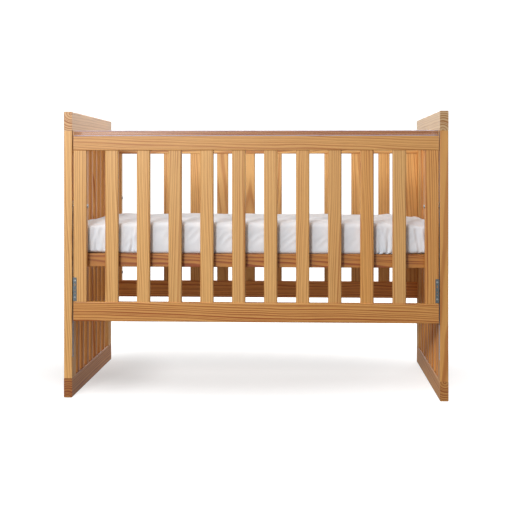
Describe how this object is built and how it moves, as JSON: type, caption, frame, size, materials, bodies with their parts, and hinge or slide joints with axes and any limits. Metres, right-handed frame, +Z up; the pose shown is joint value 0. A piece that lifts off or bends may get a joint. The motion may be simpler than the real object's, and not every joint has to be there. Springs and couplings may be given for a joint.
{
  "type": "baby crib",
  "caption": "Pine baby crib with slatted ends and sides, one drop side on guide pins, a slatted mattress base and a mattress in a white fitted sheet.",
  "frame": {"origin": "centre of the footprint, on the floor", "axes": "+X along the length (to the right seen from the drop side), +Y from the drop side to the fixed side, +Z up"},
  "size_m": [1.376, 0.756, 1.03],
  "materials": {
    "lacquered_pine": "satin clear lacquer over pine",
    "unfinished_pine": "planed, unfinished",
    "beech_dowel": "fluted, unfinished",
    "zinc_plated_sheet": "zinc plated",
    "zinc_plated_screw": "zinc plated",
    "zinc_plated_nut": "zinc plated",
    "spring_steel": "blued",
    "nylon": "moulded",
    "clear_plastic": "clear, glossy",
    "mattress_ticking": "quilted ticking",
    "white_cotton": "plain woven cotton"
  },
  "bodies": {
    "crib_frame": {"back_bottom_rail": "lacquered_pine", "back_left_stile": "lacquered_pine", "back_right_stile": "lacquered_pine", "back_slat_01": "lacquered_pine", "back_slat_02": "lacquered_pine", "back_slat_03": "lacquered_pine", "back_slat_04": "lacquered_pine", "back_slat_05": "lacquered_pine", "back_slat_06": "lacquered_pine", "back_slat_07": "lacquered_pine", "back_slat_08": "lacquered_pine", "back_slat_09": "lacquered_pine", "back_slat_10": "lacquered_pine", "back_top_rail": "lacquered_pine", "base_back_rail": "lacquered_pine", "base_barrel_nuts": "zinc_plated_nut", "base_bolts": "zinc_plated_screw", "base_front_rail": "lacquered_pine", "base_laths": "unfinished_pine", "base_left_rail": "lacquered_pine", "base_right_rail": "lacquered_pine", "catch_springs": "spring_steel", "channel_screws": "zinc_plated_screw", "end_panel_dowels": "beech_dowel", "fixed_side_bolts": "zinc_plated_screw", "fixed_side_inserts": "zinc_plated_nut", "left_end_back_stile": "lacquered_pine", "left_end_bottom_rail": "lacquered_pine", "left_end_front_stile": "lacquered_pine", "left_end_slats": "lacquered_pine", "left_end_top_rail": "lacquered_pine", "left_guide_channel": "zinc_plated_sheet", "right_end_back_stile": "lacquered_pine", "right_end_bottom_rail": "lacquered_pine", "right_end_front_stile": "lacquered_pine", "right_end_slats": "lacquered_pine", "right_end_top_rail": "lacquered_pine", "right_guide_channel": "zinc_plated_sheet"},
    "side_glides": {"guide_blocks": "nylon"},
    "drop_side": {"front_bottom_rail": "lacquered_pine", "front_left_stile": "lacquered_pine", "front_right_stile": "lacquered_pine", "front_slat_01": "lacquered_pine", "front_slat_02": "lacquered_pine", "front_slat_03": "lacquered_pine", "front_slat_04": "lacquered_pine", "front_slat_05": "lacquered_pine", "front_slat_06": "lacquered_pine", "front_slat_07": "lacquered_pine", "front_slat_08": "lacquered_pine", "front_slat_09": "lacquered_pine", "front_slat_10": "lacquered_pine", "front_top_rail": "lacquered_pine", "left_corner_bracket": "zinc_plated_sheet", "right_corner_bracket": "zinc_plated_sheet", "bracket_screws": "zinc_plated_screw", "pivot_bolts": "zinc_plated_screw", "teething_strip": "clear_plastic"},
    "mattress_and_sheet": {"mattress": "mattress_ticking", "fitted_sheet": "white_cotton"}
  },
  "joints": [
    {"name": "drop_side_slide", "type": "slide", "parent": "crib_frame", "child": "side_glides", "axis": [0, 0, 1], "range_m": [-0.24, 0], "deforming": ["catch_springs"]},
    {"name": "knee_tilt", "type": "hinge", "parent": "side_glides", "child": "drop_side", "pos_m": [0, -0.363, 0.69], "axis": [1, 0, 0], "range_deg": [0, 1.2], "stiffness_Nm_per_rad": 20, "springref_deg": -1.15},
    {"name": "mattress_lift", "type": "slide", "parent": "crib_frame", "child": "mattress_and_sheet", "axis": [0, 0, 1], "range_m": [0, 0.5]}
  ]
}
